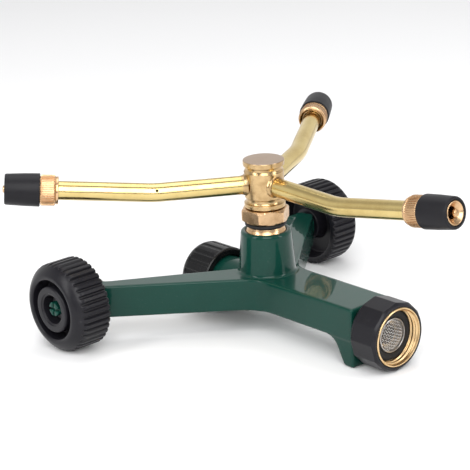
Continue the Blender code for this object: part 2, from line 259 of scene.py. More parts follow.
# %% Black moulded plastic
def make_black_plastic(name, low, high, shine, grain):
    material, tree, shader = new_finish(name, Specular_IOR_Level=0.24)
    place = object_place(tree)
    cloud = speckle(tree, place, 70.0, 5.0)
    pits = speckle(tree, place, 2600.0, 2.0)
    scuff = speckle(tree, place, 240.0, 6.0, 0.7).ramp(0.56, 0.72)
    pointed = add_node(tree, "ShaderNodeNewGeometry", {}, {}, "Pointiness")
    worn = pointed.ramp(0.52, 0.58) * (scuff * 0.7 + 0.3)
    colour = mix(tree, cloud, low, high)
    colour = mix(tree, worn * 0.4, colour, (0.06, 0.06, 0.064))
    plug(tree, shader.inputs["Base Color"], mix(tree, scuff * 0.08, colour, (0.05, 0.05, 0.054)))
    plug(tree, shader.inputs["Roughness"], cloud * 0.12 + shine + scuff * 0.06)
    plug(tree, shader.inputs["Normal"], bump(tree, pits + scuff * 0.2, grain, 0.5))
    return material


# %% [markdown]
# Brass is turned on a lathe, so its marks are rings: noise stretched by reading only the distance along the
# section. A slow stain of handling and age lies over it, darker and rougher. The tubes are drawn instead, and
# their faint lines run lengthways, so they read the turn round the tube.

# %% Turned and drawn brass
def make_turned_brass(name, clean, aged, shine, marks, sawn_top=False):
    material, tree, shader = new_finish(name, Metallic=1.0)
    turn, along = around(tree)
    place = object_place(tree)
    rings = speckle(tree, combine(tree, 0.0, along, 0.0), 9000.0, 3.0, 0.7)
    stain = speckle(tree, place, 180.0, 5.0, 0.6)
    bloom = speckle(tree, place, 60.0, 3.0).ramp(0.45, 0.75)
    colour = mix(tree, stain.ramp(0.40, 0.72), clean, aged)
    colour = mix(tree, rings * 0.25, colour, tuple(value * 0.72 for value in clean))
    rough = rings * 0.10 + shine + bloom * 0.08
    if sawn_top:
        apart = tree.nodes.new("ShaderNodeSeparateXYZ")
        plug(tree, apart.inputs[0], place)
        sawn = Wire(tree, apart.outputs[2]).ramp(HEAD_TOP - 0.00025, HEAD_TOP - 0.0001)
        colour = mix(tree, sawn, colour, (0.44, 0.335, 0.255))
        rough = rough + sawn * 0.14
    plug(tree, shader.inputs["Base Color"], colour)
    plug(tree, shader.inputs["Roughness"], rough)
    plug(tree, shader.inputs["Normal"], bump(tree, rings, marks, 0.4))
    return material


def make_tube_brass():
    material, tree, shader = new_finish("drawn_tube_brass", Metallic=1.0)
    turn, along = around(tree)
    place = object_place(tree)
    drawn = speckle(tree, combine(tree, turn * 0.03, along * 0.02, 0.0), 4200.0, 4.0, 0.7)
    smudge = speckle(tree, place, 55.0, 5.0, 0.6).ramp(0.40, 0.75)
    specks = speckle(tree, place, 700.0, 2.0).ramp(0.66, 0.80)
    colour = mix(tree, smudge * 0.6, (0.68, 0.53, 0.225), (0.53, 0.38, 0.13))
    plug(tree, shader.inputs["Base Color"], mix(tree, specks * 0.25, colour, (0.42, 0.28, 0.10)))
    plug(tree, shader.inputs["Roughness"], drawn * 0.08 + 0.15 + smudge * 0.08)
    plug(tree, shader.inputs["Normal"], bump(tree, drawn, 0.000012, 0.3))
    return material


# %% [markdown]
# The rest are small: soft black rubber with a bloom, the filter's steel wire, dark spring steel and white
# acetal. Each is noise on colour and roughness with a grain of its own.

# %% Rubber, wire, steel and acetal
def make_simple(name, first, second, rough, scale, grain, metallic=0.0, shine=0.5):
    material, tree, shader = new_finish(name, Metallic=metallic, Specular_IOR_Level=shine)
    place = object_place(tree)
    cloud = speckle(tree, place, scale, 4.0)
    pits = speckle(tree, place, scale * 14.0, 2.0)
    plug(tree, shader.inputs["Base Color"], mix(tree, cloud, first, second))
    plug(tree, shader.inputs["Roughness"], cloud * 0.16 + rough)
    plug(tree, shader.inputs["Normal"], bump(tree, pits, grain, 0.5))
    return material


FINISH = {
    "paint": make_green_paint(),
    "plastic": make_black_plastic("black_plastic_satin", (0.0066, 0.0062, 0.0084), (0.0105, 0.0100, 0.0132),
                                  0.27, 0.00003),
    "cap": make_black_plastic("black_plastic_gloss", (0.003, 0.003, 0.0034), (0.006, 0.006, 0.0066),
                              0.20, 0.00001),
    "brass": make_turned_brass("turned_brass_pink", (0.68, 0.455, 0.26), (0.50, 0.31, 0.16), 0.20, 0.00002),
    "head_brass": make_turned_brass("turned_brass_sawn_top", (0.60, 0.42, 0.215), (0.40, 0.26, 0.12),
                                    0.18, 0.00002, True),
    "thread_brass": make_turned_brass("thread_brass_bright", (0.82, 0.59, 0.32), (0.68, 0.45, 0.21),
                                      0.24, 0.00001),
    "tube": make_tube_brass(),
    "rubber": make_simple("black_rubber_soft", (0.0052, 0.0048, 0.0066), (0.0090, 0.0085, 0.0110),
                          0.36, 120.0, 0.00003, 0.0, 0.22),
    "washer": make_simple("black_washer", (0.007, 0.007, 0.007), (0.012, 0.012, 0.012),
                          0.50, 150.0, 0.00003, 0.0, 0.3),
    "wire": make_simple("stainless_wire", (0.40, 0.385, 0.37), (0.50, 0.485, 0.47),
                        0.24, 400.0, 0.00001, 1.0),
    "spring": make_simple("spring_steel_dark", (0.16, 0.16, 0.17), (0.26, 0.26, 0.27),
                          0.30, 300.0, 0.00001, 1.0),
    "acetal": make_simple("white_acetal", (0.74, 0.73, 0.69), (0.80, 0.79, 0.76), 0.35, 150.0, 0.00001),
}
print(len(FINISH), "finishes")

# %% [markdown]
# Most pieces are turned. A section is a closed loop of (radius, height) points in millimetres about the
# piece's own axis; a third number rounds that corner. The loop is spun in numpy, which is quicker than the
# Spin operator and gives the UV map and the carve weights at once.

# %% Round the corners of a section
ARC_STEPS = 4


def soften(section, spacing=None):
    """Replace rounded corners by arcs, and split long runs if a spacing is given."""
    count = len(section)
    points = []
    for i, corner in enumerate(section):
        here = np.array(corner[:2], float)
        weight = corner[3] if len(corner) > 3 else 0.0
        radius = corner[2] if len(corner) > 2 else 0.0
        if radius <= 0.0 or corner[0] == 0.0:
            points.append((*here, weight))
            continue
        before = np.array(section[i - 1][:2], float) - here
        after = np.array(section[(i + 1) % count][:2], float) - here
        reach = min(radius, 0.48 * np.linalg.norm(before), 0.48 * np.linalg.norm(after))
        start = here + before / np.linalg.norm(before) * reach
        end = here + after / np.linalg.norm(after) * reach
        for step in range(ARC_STEPS + 1):
            t = step / ARC_STEPS
            point = start * (1 - t) ** 2 + here * 2 * t * (1 - t) + end * t ** 2
            points.append((*point, weight))
    return split_runs(points, spacing) if spacing else points


def split_runs(points, spacing):
    """Add rows along runs whose two ends are both carved."""
    dense = []
    for i, point in enumerate(points):
        following = points[(i + 1) % len(points)]
        dense.append(point)
        if point[2] > 0.0 and following[2] > 0.0:
            length = math.hypot(following[0] - point[0], following[1] - point[1])
            steps = max(1, round(length / spacing))
            for k in range(1, steps):
                t = k / steps
                dense.append(tuple(a + (b - a) * t for a, b in zip(point, following)))
    return dense


# %% Spin a section into a mesh
def limit_to_flats(radius, angle, flats, apothem, turn):
    """Soft minimum of a radius and a regular polygon's edge."""
    step = 2 * math.pi / flats
    off = np.mod(angle - turn, step) - step / 2
    edge = apothem / np.cos(off)
    sharpness = 22.0
    lowest = np.minimum(radius, edge)
    total = np.exp(-sharpness * (radius - lowest)) + np.exp(-sharpness * (edge - lowest))
    return lowest - np.log(total) / sharpness


def spin(name, section, segments=96, spacing=None, flats=None):
    """Mesh of a section turned about +Z, with UV map "around" and a carve weight."""
    rows = soften(section, spacing)
    angle = np.arange(segments) * 2 * math.pi / segments
    vertices, starts, weights = [], [], []
    for radius, height, weight in rows:
        starts.append(len(vertices))
        if radius < 1e-6:
            vertices.append((0.0, 0.0, height))
            weights.append(0.0)
            continue
        reach = np.full(segments, radius)
        if flats and radius > flats[3]:
            reach = limit_to_flats(reach, angle, *flats[:3])
        vertices += list(zip(reach * np.cos(angle), reach * np.sin(angle), np.full(segments, height)))
        weights += [weight] * segments
    length = [0.0]
    for i in range(len(rows)):
        following = rows[(i + 1) % len(rows)]
        length.append(length[-1] + math.hypot(following[0] - rows[i][0], following[1] - rows[i][1]))
    faces, uvs = [], []
    for k in range(len(rows)):
        n = (k + 1) % len(rows)
        low, high = rows[k][0] < 1e-6, rows[n][0] < 1e-6
        if low and high:
            continue
        v0, v1 = length[k] * MM, length[k + 1] * MM
        for i in range(segments):
            j = (i + 1) % segments
            u0, u1 = i / segments, (i + 1) / segments
            if low:
                faces.append((starts[k], starts[n] + j, starts[n] + i))
                uvs += [(u0, v0), (u1, v1), (u0, v1)]
            elif high:
                faces.append((starts[k] + i, starts[k] + j, starts[n]))
                uvs += [(u0, v0), (u1, v0), (u0, v1)]
            else:
                faces.append((starts[k] + i, starts[k] + j, starts[n] + j, starts[n] + i))
                uvs += [(u0, v0), (u1, v0), (u1, v1), (u0, v1)]
    mesh = bpy.data.meshes.new(name)
    mesh.from_pydata((np.array(vertices) * MM).tolist(), [], faces)
    mesh.uv_layers.new(name="around").data.foreach_set("uv", np.array(uvs, np.float32).ravel())
    mesh.attributes.new("carve", "FLOAT", "POINT").data.foreach_set("value", np.array(weights, np.float32))
    face_outwards(mesh)
    return mesh


def face_outwards(mesh):
    """Turn the whole shell round if it encloses a negative volume."""
    bm = bmesh.new()
    bm.from_mesh(mesh)
    if bm.calc_volume(signed=True) < 0.0:
        bmesh.ops.reverse_faces(bm, faces=bm.faces[:])
        bm.to_mesh(mesh)
    bm.free()


# %% Put a piece in its place
def seat(mesh, origin, direction=UP, turn=0.0):
    """Carry a mesh made about +Z to an origin in metres, with its +Z along a direction."""
    tilt = UP.rotation_difference(Vector(direction)).to_matrix().to_4x4()
    mesh.transform(Matrix.Translation(Vector(origin)) @ tilt @ Matrix.Rotation(turn, 4, "Z"))
    return mesh


def piece(name, mesh, finish, body, nodes, sharp=38.0):
    """Show a mesh as a piece that rides on a body and stands for CAD nodes."""
    mesh.materials.clear()
    mesh.materials.append(FINISH[finish])
    mesh.shade_smooth()
    mesh.set_sharp_from_angle(angle=math.radians(sharp))
    item = bpy.data.objects.new(name, mesh)
    bpy.context.scene.collection.objects.link(item)
    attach(item, body)
    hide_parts(*nodes)
    print(name, len(mesh.polygons), "faces")
    return item


# %% [markdown]
# Ribs, knurls, flutes and threads are one idea: a wave round the piece that pushes the surface in or out. A
# Geometry Nodes tree does it with a Set Position node. Lead turns the wave into a helix, which is a thread,
# and the carve weight of each point says how much of the wave it takes.

# %% A tree that carves ribs and threads
def new_tree(name, sockets):
    """An empty geometry tree with named inputs, and wires from them."""
    tree = bpy.data.node_groups.new(name, "GeometryNodeTree")
    tree.interface.new_socket("Geometry", in_out="INPUT", socket_type="NodeSocketGeometry")
    tree.interface.new_socket("Geometry", in_out="OUTPUT", socket_type="NodeSocketGeometry")
    for label, kind, default in sockets:
        socket = tree.interface.new_socket(label, in_out="INPUT", socket_type="NodeSocket" + kind)
        if default is not None:
            socket.default_value = default
    source = tree.nodes.new("NodeGroupInput")
    return tree, {socket.name: Wire(tree, socket) for socket in source.outputs if socket.name}


def close_tree(tree, geometry, material):
    """End a tree in Realize Instances and Set Material."""
    real = add_node(tree, "GeometryNodeRealizeInstances", {}, {"Geometry": geometry})
    done = add_node(tree, "GeometryNodeSetMaterial", {}, {"Geometry": real, "Material": material})
    output = tree.nodes.new("NodeGroupOutput")
    tree.links.new(done.socket, output.inputs[0])


def grow(mesh, tree, values):
    """Run a tree on a mesh and return the plain mesh that it makes."""
    holder = bpy.data.objects.new("holder", mesh)
    bpy.context.scene.collection.objects.link(holder)
    modifier = holder.modifiers.new("grow", "NODES")
    modifier.node_group = tree
    for item in tree.interface.items_tree:
        if item.in_out == "INPUT" and item.name in values:
            modifier[item.identifier] = values[item.name]
    bpy.context.view_layer.update()
    result = holder.evaluated_get(bpy.context.evaluated_depsgraph_get())
    made = bpy.data.meshes.new_from_object(result)
    bpy.data.objects.remove(holder, do_unlink=True)
    return made


def make_carver():
    tree, wire = new_tree("carve_ribs", [("Count", "Float", 40.0), ("Depth", "Float", 0.001),
                                         ("Lead", "Float", 0.0), ("Low", "Float", -0.3),
                                         ("High", "Float", 0.5), ("Material", "Material", None)])
    spot = add_node(tree, "GeometryNodeInputPosition")
    apart = tree.nodes.new("ShaderNodeSeparateXYZ")
    plug(tree, apart.inputs[0], spot)
    x, y, z = (Wire(tree, output) for output in apart.outputs)
    angle = x.math("ARCTAN2", y, x)
    wave = x.math("COSINE", angle * wire["Count"] + z * wire["Lead"] * (2 * math.pi))
    weight = add_node(tree, "GeometryNodeInputNamedAttribute", {"data_type": "FLOAT"}, {"Name": "carve"})
    depth = wave.ramp(wire["Low"], wire["High"]) * weight * wire["Depth"]
    reach = x.math("MAXIMUM", x.math("SQRT", x * x + y * y), 1e-6)
    offset = combine(tree, -x / reach * depth, -y / reach * depth, 0.0)
    moved = add_node(tree, "GeometryNodeSetPosition", {}, {"Geometry": wire["Geometry"], "Offset": offset})
    close_tree(tree, moved, wire["Material"])
    return tree


CARVER = make_carver()


def carve(mesh, finish, count, depth, lead=0.0, low=-0.3, high=0.5):
    """Carve count ribs, or a thread of a given lead in turns per metre, into a mesh."""
    values = {"Count": float(count), "Depth": depth * MM, "Lead": lead, "Low": low, "High": high,
              "Material": FINISH[finish]}
    return grow(mesh, CARVER, values)


print("carver has", len(CARVER.nodes), "nodes")

# %% [markdown]
# The base is one casting: a column, two tapering legs and a spine that run into each other through round
# fillets. A fillet is easy to write as a rule. Each member is a distance to its faces, in millimetres, and a
# smooth minimum joins two members with a fillet of a chosen radius, as a smooth maximum rounds an edge. A
# Volume Cube node samples that rule in a grid and Volume to Mesh skins it.

# %% Sizes of the casting, read from the frame
LOW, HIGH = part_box("base_casting")
WHEEL_LOW, WHEEL_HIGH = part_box("right_wheel")
AXLE = Vector(JOINTS["right_wheel_spin"]["pos_m"]) - HUB
AXLE_Y, AXLE_Z = AXLE.y / MM, AXLE.z / MM
HALF_SPAN = (HIGH.x - HUB.x) / MM
NOSE = (HUB.y - LOW.y) / MM
NECK_END = (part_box("outlet_washer")[0].y - HUB.y) / MM - 0.3
COLUMN_TOP = HIGH.z / MM
WATER_Z = HOSE.z / MM
LEG_TOP, LEG_BOTTOM = 30.4, 13.7
LEG_ANGLE = math.radians(36.2)
LEG_SHIFT = 4.96
LEG_ROOT, LEG_TIP = 9.0, 5.06
SPINE_HALF = 13.3
SKIN = 2.6
COLUMN_R, COLUMN_DRAFT, INSERT_BORE = 14.55, 0.078, 10.45
PIPE_R, NECK_R, BOSS_R, STUB_R, STUB_END_R = 8.6, 12.6, 7.4, 5.0, 3.75
SOCKET_R, OUTLET_BORE = 9.25, 6.2
print("casting reaches", round(HALF_SPAN, 1), "mm each side and", round(NOSE, 1), "mm ahead")

# %% The casting's rule
def casting_rule(x, y, z):
    """Distance field of the casting, negative inside, from wires in mm about the rotor's axis."""
    def over(a, b, k=1.6):
        return x.math("SMOOTH_MAX", a, b, k)

    def under(a, b, k=2.0):
        return x.math("SMOOTH_MIN", a, b, k)

    def rod(a, b, radius):
        return x.math("SQRT", a * a + b * b) - radius

    def span(value, low, high):
        return abs(value - (low + high) / 2) - (high - low) / 2

    side = abs(x)
    along = side * math.cos(LEG_ANGLE) + (y + LEG_SHIFT) * math.sin(LEG_ANGLE)
    across = (y + LEG_SHIFT) * math.cos(LEG_ANGLE) - side * math.sin(LEG_ANGLE)
    half = along * ((LEG_TIP - LEG_ROOT) / 60.0) + (LEG_ROOT + (LEG_ROOT - LEG_TIP) / 3.0)
    walls = abs(across) - half
    leg = over(walls, span(along, -2.0, 94.0))
    spine = over(side - SPINE_HALF, span(y, -NOSE, 0.0))
    plate = over(under(leg, spine, 11.0), span(z, LEG_BOTTOM, LEG_TOP), 1.5)
    reach = x.math("SQRT", x * x + y * y)
    column = over(reach - COLUMN_R + (z - 31.0) * COLUMN_DRAFT, span(z, LEG_BOTTOM + 0.4, COLUMN_TOP), 2.4)
    steep = (y + 66.5) * 0.889 - z * 0.457
    shallow = (y + 61.0) * 0.525 - (z - 10.7) * 0.851
    foot = under(over(steep, -z, 2.2), shallow, 1.5)
    foot = over(over(foot, side - (SPINE_HALF - 0.5), 1.4), over(span(y, -NOSE, -40.0), z - 20.0, 1.0), 1.4)
    boss = over(rod(y - AXLE_Y, z - AXLE_Z, BOSS_R), span(side, 66.0, 77.6), 1.2)
    body = under(plate, column, 2.4)
    body = under(under(body, foot, 1.2), boss, 2.5)
    roof = z - (LEG_TOP - SKIN)
    leg_hollow = over(over(walls + SKIN, span(along, 22.0, 82.0)), roof)
    spine_hollow = over(over(side - (SPINE_HALF - SKIN), span(y, -54.0, -17.0)), roof)
    body = over(body, -leg_hollow, 1.0)
    body = over(body, -spine_hollow, 1.0)
    pipe = over(rod(side, z - WATER_Z, PIPE_R), span(y, -66.0, 2.0), 0.8)
    pipe = over(pipe, LEG_BOTTOM + 0.8 - z, 0.8)
    neck = over(rod(side, z - WATER_Z, NECK_R), span(y, 12.0, NECK_END), 0.8)
    stub = over(rod(y - AXLE_Y, z - AXLE_Z, STUB_R), span(side, 70.0, 90.6), 0.5)
    tip = over(rod(y - AXLE_Y, z - AXLE_Z, STUB_END_R), span(side, 85.0, HALF_SPAN), 0.9)
    cross = under(abs(y - AXLE_Y) - 0.5, abs(z - AXLE_Z) - 0.5, 0.3)
    tip = over(tip, -over(cross, (HALF_SPAN - 2.2) - side, 0.3), 0.5)
    body = under(under(body, pipe, 1.5), neck, 1.2)
    body = under(under(body, stub, 1.0), tip, 0.3)
    bore = over(reach - INSERT_BORE, 35.7 - z, 0.5)
    socket = over(rod(side, z - WATER_Z, SOCKET_R), y + 63.5, 0.4)
    outlet = over(rod(side, z - WATER_Z, OUTLET_BORE), 20.0 - y, 0.4)
    body = over(body, -bore, 0.7)
    return over(over(body, -socket, 0.6), -outlet, 0.6)


# %% Skin the rule
def make_caster():
    tree, wire = new_tree("cast_from_rule", [("Low", "Vector", None), ("High", "Vector", None),
                                             ("Centre", "Vector", None), ("Steps X", "Int", 64),
                                             ("Steps Y", "Int", 64), ("Steps Z", "Int", 64),
                                             ("Material", "Material", None)])
    spot = add_node(tree, "GeometryNodeInputPosition")
    local = add_node(tree, "ShaderNodeVectorMath", {"operation": "SUBTRACT"}, {0: spot, 1: wire["Centre"]})
    apart = tree.nodes.new("ShaderNodeSeparateXYZ")
    plug(tree, apart.inputs[0], local)
    x, y, z = (Wire(tree, output) * (1.0 / MM) for output in apart.outputs)
    inside = -casting_rule(x, y, z)
    volume = add_node(tree, "GeometryNodeVolumeCube", {}, {
        "Density": inside, "Background": -10.0, "Min": wire["Low"], "Max": wire["High"],
        "Resolution X": wire["Steps X"], "Resolution Y": wire["Steps Y"], "Resolution Z": wire["Steps Z"]})
    skin = add_node(tree, "GeometryNodeVolumeToMesh", {"resolution_mode": "GRID"},
                    {"Volume": volume, "Threshold": 0.0, "Adaptivity": 0.0})
    close_tree(tree, skin, wire["Material"])
    return tree


def make_casting():
    caster = make_caster()
    voxel = 0.62 * MM
    margin = Vector((2.0, 2.0, 2.0)) * MM
    low, high = LOW - margin, HIGH + margin
    steps = [round((high[i] - low[i]) / voxel) for i in range(3)]
    values = {"Low": low, "High": high, "Centre": HUB, "Steps X": steps[0], "Steps Y": steps[1],
              "Steps Z": steps[2], "Material": FINISH["paint"]}
    return grow(bpy.data.meshes.new("casting_seed"), caster, values)


casting = make_casting()
piece("painted_casting", casting, "paint", "base", ["base_casting"], 60.0)

# %% [markdown]
# A wheel is one moulding: a ribbed tread that runs out over a round shoulder, a sunk ring in the face, and a
# hub whose bore turns on the axle stub. The tread's ribs are carved with the tree above.

# %% Wheels
WIDTH = (WHEEL_HIGH.x - WHEEL_LOW.x) / MM
WHEEL_R = (WHEEL_HIGH.z - WHEEL_LOW.z) / 2 / MM
RIBS = 40


def wheel_section():
    """The section from the tread's inner edge, over the shoulder and the face, and back by the inside."""
    tread = WIDTH - 5.6
    return [(WHEEL_R - 2.2, 0.0, 0.6), (WHEEL_R - 0.4, 0.25, 0.3, 0.8), (WHEEL_R, 0.8, 0.0, 1.0),
            (WHEEL_R, tread, 0.0, 1.0), (WHEEL_R - 0.3, tread + 1.1, 0.0, 0.85),
            (WHEEL_R - 0.75, tread + 1.9, 0.0, 0.0), (WHEEL_R - 1.6, tread + 3.0, 0.9),
            (WHEEL_R - 3.3, tread + 4.6, 1.2), (17.6, WIDTH, 0.9), (16.1, WIDTH, 0.4),
            (15.4, WIDTH - 0.5, 0.3),
            (15.1, WIDTH - 9.0, 0.5), (12.2, WIDTH - 9.0, 0.5), (11.95, WIDTH - 0.9, 0.5),
            (11.3, WIDTH - 0.3, 0.3), (8.5, WIDTH - 0.3, 0.3), (8.2, WIDTH - 0.8, 0.2),
            (7.4, WIDTH - 1.0, 0.3), (7.1, WIDTH - 7.4, 0.2), (5.3, WIDTH - 7.4, 0.2),
            (5.3, 0.6, 0.3), (8.8, 0.6, 0.6), (9.3, 8.0, 0.8),
            (18.2, 8.0, 1.0), (19.0, 0.0, 0.7)]


for side, name in ((-1, "left"), (1, "right")):
    wheel = spin(name + "_tyre", wheel_section(), RIBS * 10, 1.2)
    wheel = carve(wheel, "plastic", RIBS, 1.3, 0.0, -0.1, 1.0)
    seat(wheel, JOINTS[name + "_wheel_spin"]["pos_m"], (side, 0, 0))
    piece(name + "_ribbed_wheel", wheel, "plastic", name + "_wheel_body", [name + "_wheel"])
    inner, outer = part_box(name + "_push_nut")
    clip = spin(name + "_clip", [(4.1, 0.0, 0.1), (6.6, 0.0, 0.2), (6.6, 0.8, 0.2), (4.1, 0.8, 0.1)], 64)
    start = Vector((outer.x if side < 0 else inner.x, HUB.y + AXLE.y, HUB.z + AXLE.z))
    seat(clip, start, (side, 0, 0))
    piece(name + "_retaining_ring", clip, "spring", "base", [name + "_push_nut"])

# %% [markdown]
# The hose coupling is a black twelve-sided grip moulded round a brass thread insert. Its flats come from
# limiting each turned radius to a polygon's edge, so that the end chamfers cut across the flats in the curves
# that a real chamfer leaves. The thread is a helix of 11.5 turns to the inch.

# %% Hose coupling
THREAD_PITCH = 25.4 / 11.5
RIM = (HOSE.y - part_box("coupling_insert")[0].y) / MM
GRIP_R = WATER_Z - 0.05


def make_grip():
    section = [(14.5, 1.0, 0.2), (15.2, 1.0, 0.3), (GRIP_R, 3.3, 0.3), (GRIP_R, RIM - 1.9, 0.3),
               (16.1, RIM - 0.45, 0.3), (15.1, RIM - 0.4, 0.2), (15.1, RIM - 1.6, 0.1),
               (14.5, RIM - 1.6, 0.1)]
    return spin("grip", section, 360, None, (12, GRIP_R * math.cos(math.pi / 12), 0.0, 15.0))


def make_insert():
    section = [(9.0, 1.3, 0.2), (14.0, 1.3, 0.2), (14.2, 1.7, 0.1), (14.2, RIM - 1.3, 0.1),
               (14.8, RIM - 1.1, 0.1), (14.8, RIM - 0.3, 0.3), (14.4, RIM, 0.3), (14.0, RIM, 0.2),
               (13.9, RIM - 0.7, 0.0, 0.0), (13.8, RIM - 1.4, 0.0, 1.0), (13.8, 8.9, 0.0, 1.0),
               (13.8, 8.3, 0.0, 0.0), (9.0, 8.3, 0.2)]
    blank = spin("insert", section, 240, 0.14)
    return carve(blank, "thread_brass", 1, 0.75, 1.0 / (THREAD_PITCH * MM), -0.9, 0.9)


piece("coupling_nut_grip", seat(make_grip(), HOSE, AHEAD), "plastic", "hose_swivel", ["coupling_grip"],
      25.0)
piece("coupling_thread", seat(make_insert(), HOSE, AHEAD), "thread_brass", "hose_swivel", ["coupling_insert"],
      50.0)
hose_washer = spin("washer", [(8.8, 10.8, 0.3), (12.6, 10.8, 0.4), (12.6, 14.0, 0.5), (11.2, 14.0, 0.3),
                              (10.9, 13.8, 0.2), (9.4, 13.8, 0.2), (9.1, 14.0, 0.2), (8.8, 14.0, 0.2)], 96)
piece("hose_washer_ring", seat(hose_washer, HOSE, AHEAD), "washer", "hose_swivel", ["hose_washer"])

# %% [markdown]
# The filter is a dome of woven wire pressed into the washer. Each wire is a curve: a row of straight lines
# is laid across the opening, lifted onto the dome, and weaves over and under its neighbours with a product
# of two cosines. The crossing wires take the same wave upside down.

# %% Woven filter dome
def make_weaver():
    tree, wire = new_tree("weave_dome", [("Reach", "Float", 0.0084), ("Rise", "Float", 0.003),
                                         ("Pitch", "Float", 0.0007), ("Wires", "Int", 25),
                                         ("Points", "Int", 97), ("Wire Radius", "Float", 0.00015),
                                         ("Material", "Material", None)])
    reach, rise, pitch = wire["Reach"], wire["Rise"], wire["Pitch"]
    half = (wire["Wires"] - 1) * pitch * 0.5
    start = combine(tree, -half, 0.0, 0.0)
    end = combine(tree, half, 0.0, 0.0)
    line = add_node(tree, "GeometryNodeCurvePrimitiveLine", {}, {"Start": start, "End": end})
    line = add_node(tree, "GeometryNodeResampleCurve", {}, {"Curve": line, "Count": wire["Points"]})
    rows = add_node(tree, "GeometryNodeMeshLine", {}, {
        "Count": wire["Wires"], "Start Location": combine(tree, 0.0, -half, 0.0),
        "Offset": combine(tree, 0.0, pitch, 0.0)})
    laid = add_node(tree, "GeometryNodeInstanceOnPoints", {}, {"Points": rows, "Instance": line})
    laid = add_node(tree, "GeometryNodeRealizeInstances", {}, {"Geometry": laid})
    spot = add_node(tree, "GeometryNodeInputPosition")
    apart = tree.nodes.new("ShaderNodeSeparateXYZ")
    plug(tree, apart.inputs[0], spot)
    x, y, z = (Wire(tree, output) for output in apart.outputs)
    ball = (reach * reach + rise * rise) / (rise * 2.0)
    out = x * x + y * y
    dome = x.math("SQRT", x.math("MAXIMUM", ball * ball - out, 0.0)) - (ball - rise)
    weave = x.math("COSINE", x / pitch * math.pi) * x.math("COSINE", y / pitch * math.pi)
    sets = []
    for sign, turn in ((1.0, 0.0), (-1.0, math.pi / 2)):
        lift = dome + weave * wire["Wire Radius"] * (1.15 * sign)
        bent = add_node(tree, "GeometryNodeSetPosition", {},
                        {"Geometry": laid, "Offset": combine(tree, 0.0, 0.0, lift)})
        outside = x.math("GREATER_THAN", x.math("SQRT", out), reach)
        kept = add_node(tree, "GeometryNodeDeleteGeometry", {"domain": "POINT"},
                        {"Geometry": bent, "Selection": outside})
        turned = add_node(tree, "GeometryNodeTransform", {}, {"Geometry": kept, "Rotation": (0.0, 0.0, turn)})
        sets.append(turned)
    joined = tree.nodes.new("GeometryNodeJoinGeometry")
    for one in sets:
        tree.links.new(one.socket, joined.inputs[0])
    ring = add_node(tree, "GeometryNodeCurvePrimitiveCircle", {},
                    {"Resolution": 6, "Radius": wire["Wire Radius"]})
    wires = add_node(tree, "GeometryNodeCurveToMesh", {}, {
        "Curve": Wire(tree, joined.outputs[0]), "Profile Curve": ring, "Fill Caps": True})
    close_tree(tree, wires, wire["Material"])
    return tree


SCREEN_R, SCREEN_LIFT, SCREEN_RISE = 8.0, 13.0, 3.0
values = {"Reach": SCREEN_R * MM, "Rise": SCREEN_RISE * MM, "Pitch": 1.05 * MM, "Wires": 17, "Points": 97,
          "Wire Radius": 0.15 * MM, "Material": FINISH["wire"]}
screen = grow(bpy.data.meshes.new("screen_seed"), make_weaver(), values)
seat(screen, HOSE + AHEAD * SCREEN_LIFT * MM, AHEAD, math.radians(20.0))
bezel = spin("bezel", [(7.9, 11.2, 0.1), (8.6, 11.2, 0.2), (8.6, 14.3, 0.2), (8.1, 14.5, 0.1),
                       (7.9, 14.1, 0.1)], 72)
seat(bezel, HOSE, AHEAD)


def join(meshes, name):
    """One mesh from several."""
    bm = bmesh.new()
    for mesh in meshes:
        bm.from_mesh(mesh)
    made = bpy.data.meshes.new(name)
    bm.to_mesh(made)
    bm.free()
    return made


piece("woven_filter", join([screen, bezel], "filter"), "wire", "hose_swivel", ["filter_screen"],
      60.0)

# %% [markdown]
# A glossy screw cap closes the outlet at the back. Its grip is a ring of broad shallow ribs.

# %% Rear cap
def make_cap():
    near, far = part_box("outlet_cap")
    depth = (far.y - near.y) / MM
    radius = (far.z - near.z) / 2 / MM
    section = [(13.3, 0.0, 0.3), (radius - 0.7, 0.0, 0.4), (radius, 0.9, 0.3, 0.0), (radius, 1.8, 0.0, 1.0),
               (radius, depth - 3.4, 0.0, 1.0), (radius - 0.3, depth - 2.2, 0.5, 0.0),
               (radius - 1.0, depth - 0.7, 1.0), (radius - 3.2, depth, 1.0), (11.0, depth, 0.3),
               (10.6, depth - 0.5, 0.3), (0.0, depth - 0.5), (0.0, depth - 3.6), (13.3, depth - 3.6, 0.5)]
    blank = spin("cap", section, 18 * 16, 1.0)
    return carve(blank, "cap", 18, 0.45, 0.0, 0.2, 0.85)


piece("rear_cap", seat(make_cap(), CAP, BEHIND), "cap", "outlet_cap_body", ["outlet_cap"],
      30.0)

# %% [markdown]
# The bearing stack is seen edge on between the column and the rotor: a flared brass collar, a black washer
# and the hexagon of the gland nut. Thin gaps between them matter more than any single size.

# %% Bearing stack
def make_gland():
    section = [(4.8, 57.0, 0.2), (10.6, 57.0, 0.5), (12.45, 58.1, 0.6), (12.45, 63.0, 0.6), (10.7, 64.2, 0.5),
               (7.3, 64.2, 0.2), (7.3, 68.6, 0.2), (4.8, 68.6, 0.2)]
    return spin("gland", section, 288, 0.0, (6, 10.95, math.radians(33.0), 8.0))


